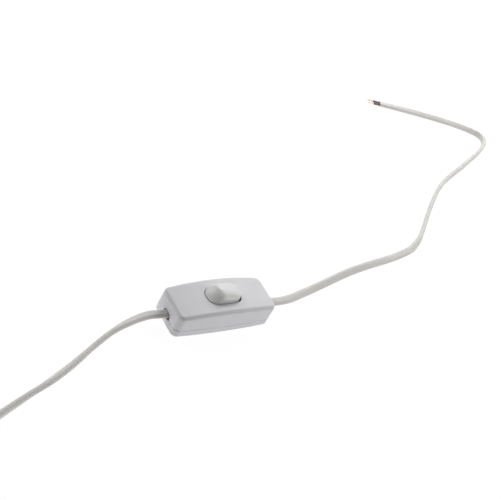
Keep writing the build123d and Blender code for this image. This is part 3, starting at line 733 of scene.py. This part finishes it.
class LAMPCORD_OT_lamp_end(bpy.types.Operator):
    """Make the bare strands of the stripped lamp end"""

    bl_idname = "lampcord.lamp_end"
    bl_label = "Lamp end"

    def execute(self, context):
        sizes = context.scene.lampcord_sizes
        bpy.ops.object.select_all(action="DESELECT")
        bpy.ops.mesh.primitive_circle_add(vertices=STRAND_SIDES, radius=sizes.strand_radius)
        blank = context.active_object
        bpy.ops.object.mode_set(mode="EDIT")
        bpy.ops.mesh.duplicate()
        bpy.ops.transform.translate(value=(STRAND_SPACING * sizes.strand_radius, 0, 0))
        step = radians(360 / OUTER_STRANDS)
        for _ in range(OUTER_STRANDS - 1):
            bpy.ops.mesh.duplicate()
            bpy.ops.transform.rotate(value=step, orient_axis="Z", center_override=(0, 0, 0))
        bpy.ops.object.mode_set(mode="OBJECT")
        sweep_up(blank, radians(STRAND_TWIST), sizes.strand_length, 1, STRAND_STEPS)
        places = [((x, y, z), (0, 90, way)) for x, y, z, way in STRAND_ROOTS]
        strands = set_down(blank, "lamp_strands", places)
        strands.data.materials.append(metal("bare copper", context.scene.lampcord_colours.copper))
        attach(strands, "housing")
        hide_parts("lamp_copper_ends")
        return {"FINISHED"}


class LAMPCORD_OT_plug(bpy.types.Operator):
    """Finish the plug, its pins and the coil's tie"""

    bl_idname = "lampcord.plug"
    bl_label = "Plug and tie"

    def execute(self, context):
        colours = context.scene.lampcord_colours
        dress(moulded("plug plastic", colours.plug), "plug_body")
        dress(metal("nickel plate", colours.nickel), "plug_pins")
        dress(moulded("sleeve plastic", colours.sleeve), "plug_sleeves")
        dress(moulded("tie plastic", colours.tie), "coil_tie")
        return {"FINISHED"}


def coil_points(sizes):
    """Turns of the coil: the lower layer winds in, the upper one winds out."""
    count = int(COIL_TURNS * COIL_STEPS)
    # The spline runs inside its points, so they stand a little outside the turns
    grow = 1 / (1 - (1 - cos(2 * pi / COIL_STEPS)) / 4)
    points = []
    for index in range(1, count + 1):
        share = index / count
        angle = radians(COIL_START - 360 * COIL_TURNS * share)
        away = abs(2 * share - 1)
        radius = sizes.coil_inner + (sizes.coil_outer - sizes.coil_inner) * away
        climb = min(max((share - CLIMB_START) / CLIMB_SPAN, 0), 1)
        height = COIL_LOW + COIL_LIFT * climb * climb * (3 - 2 * climb)
        x = sizes.coil_centre[0] + radius * grow * cos(angle)
        y = sizes.coil_centre[1] + radius * grow * sin(angle)
        points.append((x, y, height, 0))
    return points


def flat_cord(name, points, sizes, material):
    """The flat cord as one smooth spline through its route, turned as the route says."""
    data = bpy.data.curves.new(name, "CURVE")
    data.dimensions = "3D"
    data.twist_mode = "Z_UP"
    data.extrude = (sizes.cord_width - sizes.cord_thickness) / 2
    data.bevel_depth = sizes.cord_thickness / 2
    data.bevel_resolution = 5
    data.resolution_u = 8
    data.use_fill_caps = True
    spline = data.splines.new("NURBS")
    spline.points.add(len(points) - 1)
    for knot, (x, y, z, turn) in zip(spline.points, points):
        knot.co = (x, y, z, 1)
        knot.tilt = radians(turn)
    spline.order_u = 3
    spline.use_endpoint_u = True
    piece = bpy.data.objects.new(name, data)
    bpy.context.scene.collection.objects.link(piece)
    data.materials.append(material)
    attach(piece, "housing")
    return piece


class LAMPCORD_OT_cords(bpy.types.Operator):
    """Make the two free cords"""

    bl_idname = "lampcord.cords"
    bl_label = "Cords"

    def execute(self, context):
        sizes = context.scene.lampcord_sizes
        colours = context.scene.lampcord_colours
        jacket = moulded("cord jacket", colours.cord)
        plug_side = flat_cord("lead_to_plug", PLUG_SIDE + coil_points(sizes) + PLUG_TAIL, sizes, jacket)
        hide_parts("cord_left", "cord_coil", "plug_tail")
        lamp_side = flat_cord("lead_to_lamp", LAMP_SIDE, sizes, jacket)
        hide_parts("cord_right")
        return {"FINISHED"}


class LAMPCORD_OT_stage(bpy.types.Operator):
    """Set the floor, the light and the camera"""

    bl_idname = "lampcord.stage"
    bl_label = "Stage"

    def execute(self, context):
        scene = context.scene
        stage = scene.lampcord_stage
        bpy.ops.object.select_all(action="DESELECT")
        bpy.ops.mesh.primitive_plane_add(size=stage.floor_size, location=(0, 0, FLOOR_LEVEL))
        floor = context.active_object
        floor.name = "floor"
        floor.data.materials.append(self.white_table(stage))
        self.soft_lamps(scene, stage)
        self.pale_room(scene, stage)
        self.photo_camera(scene, stage)
        scene.view_settings.view_transform = "Standard"
        return {"FINISHED"}

    def photo_camera(self, scene, stage):
        """A camera that stands and looks as the photograph's did."""
        lens = bpy.data.cameras.new("camera")
        lens.lens = stage.camera_lens
        lens.sensor_width = SENSOR_WIDTH
        lens.clip_start = NEAREST_SEEN
        camera = bpy.data.objects.new("camera", lens)
        camera.location = stage.camera_place
        camera.rotation_euler = stage.camera_turn
        scene.collection.objects.link(camera)
        scene.camera = camera

    def white_table(self, stage):
        """Paper that glows, so it is seen as white and still takes a faint shadow."""
        paper = bpy.data.materials.new("white paper")
        paper.use_nodes = True
        tree = paper.node_tree
        tree.nodes.clear()
        leave = tree.nodes.new("ShaderNodeOutputMaterial")
        matt = tree.nodes.new("ShaderNodeBsdfDiffuse")
        matt.inputs["Color"].default_value = (PAPER_TONE, PAPER_TONE, PAPER_TONE, 1)
        glow = tree.nodes.new("ShaderNodeEmission")
        blend = tree.nodes.new("ShaderNodeMixShader")
        blend.inputs["Fac"].default_value = GLOW_SHARE
        tree.links.new(self.seen_level(tree, stage.table, stage.table_white), glow.inputs["Strength"])
        tree.links.new(matt.outputs[0], blend.inputs[1])
        tree.links.new(glow.outputs[0], blend.inputs[2])
        tree.links.new(blend.outputs[0], leave.inputs["Surface"])
        return paper

    def seen_level(self, tree, lit, seen):
        """A strength with one value as light on the object, and another where it is seen or mirrored."""
        path = tree.nodes.new("ShaderNodeLightPath")
        direct = tree.nodes.new("ShaderNodeMath")
        mirrored = tree.nodes.new("ShaderNodeMath")
        mirrored.use_clamp = True
        level = tree.nodes.new("ShaderNodeMapRange")
        level.inputs["To Min"].default_value = lit
        level.inputs["To Max"].default_value = seen
        tree.links.new(path.outputs["Is Camera Ray"], direct.inputs[0])
        tree.links.new(path.outputs["Is Glossy Ray"], direct.inputs[1])
        tree.links.new(direct.outputs[0], mirrored.inputs[0])
        tree.links.new(path.outputs["Is Transmission Ray"], mirrored.inputs[1])
        tree.links.new(mirrored.outputs[0], level.inputs["Value"])
        return level.outputs["Result"]

    def soft_lamps(self, scene, stage):
        """Four soft lamps above the table, pointed at the switch."""
        for (name, place), power in zip(LAMPS.items(), stage.lamp_powers):
            light = bpy.data.lights.new(name, "AREA")
            light.shape = "DISK"
            light.size = stage.lamp_size
            light.energy = power
            lamp = bpy.data.objects.new(name, light)
            lamp.location = place
            lamp.rotation_euler = (-Vector(place)).to_track_quat("-Z", "Y").to_euler()
            scene.collection.objects.link(lamp)

    def pale_room(self, scene, stage):
        """The same plain light from all round, which is seen as white."""
        world = bpy.data.worlds.new("pale room")
        world.use_nodes = True
        tree = world.node_tree
        around = tree.nodes["Background"]
        around.inputs["Color"].default_value = (1, 1, 1, 1)
        tree.links.new(self.seen_level(tree, stage.room, stage.room_white), around.inputs["Strength"])
        scene.world = world


class LAMPCORD_PT_sidebar(bpy.types.Panel):
    """Lists the lamp cord's settings and steps"""

    bl_label = "Lamp cord"
    bl_idname = "LAMPCORD_PT_sidebar"
    bl_space_type = "VIEW_3D"
    bl_region_type = "UI"
    bl_category = "Lamp cord"

    def draw(self, context):
        layout = self.layout
        for group in ("lampcord_colours", "lampcord_sizes", "lampcord_stage"):
            settings = getattr(context.scene, group)
            for name in settings.__annotations__:
                layout.prop(settings, name)
        for step in STEPS:
            layout.operator(step.bl_idname)


STEPS = (
    LAMPCORD_OT_housing, LAMPCORD_OT_rocker, LAMPCORD_OT_mechanism, LAMPCORD_OT_spring, LAMPCORD_OT_cores,
    LAMPCORD_OT_screws, LAMPCORD_OT_lamp_end, LAMPCORD_OT_plug, LAMPCORD_OT_cords, LAMPCORD_OT_stage,
)
CLASSES = (LampCordColours, LampCordSizes, LampCordStage, *STEPS, LAMPCORD_PT_sidebar)


def register():
    """Add the classes, and the settings that a scene keeps."""
    for made in CLASSES:
        bpy.utils.register_class(made)
    bpy.types.Scene.lampcord_colours = bpy.props.PointerProperty(type=LampCordColours)
    bpy.types.Scene.lampcord_sizes = bpy.props.PointerProperty(type=LampCordSizes)
    bpy.types.Scene.lampcord_stage = bpy.props.PointerProperty(type=LampCordStage)


def unregister():
    """Take the settings and the classes away again."""
    del bpy.types.Scene.lampcord_colours
    del bpy.types.Scene.lampcord_sizes
    del bpy.types.Scene.lampcord_stage
    for made in reversed(CLASSES):
        bpy.utils.unregister_class(made)


def main():
    """Dress the part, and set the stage."""
    register()
    grain_group()
    drift_group()
    drawn_group()
    bpy.ops.lampcord.housing()
    bpy.ops.lampcord.rocker()
    bpy.ops.lampcord.mechanism()
    bpy.ops.lampcord.spring()
    bpy.ops.lampcord.cores()
    bpy.ops.lampcord.screws()
    bpy.ops.lampcord.lamp_end()
    bpy.ops.lampcord.plug()
    bpy.ops.lampcord.cords()
    bpy.ops.lampcord.stage()


if __name__ == "__main__":
    main()
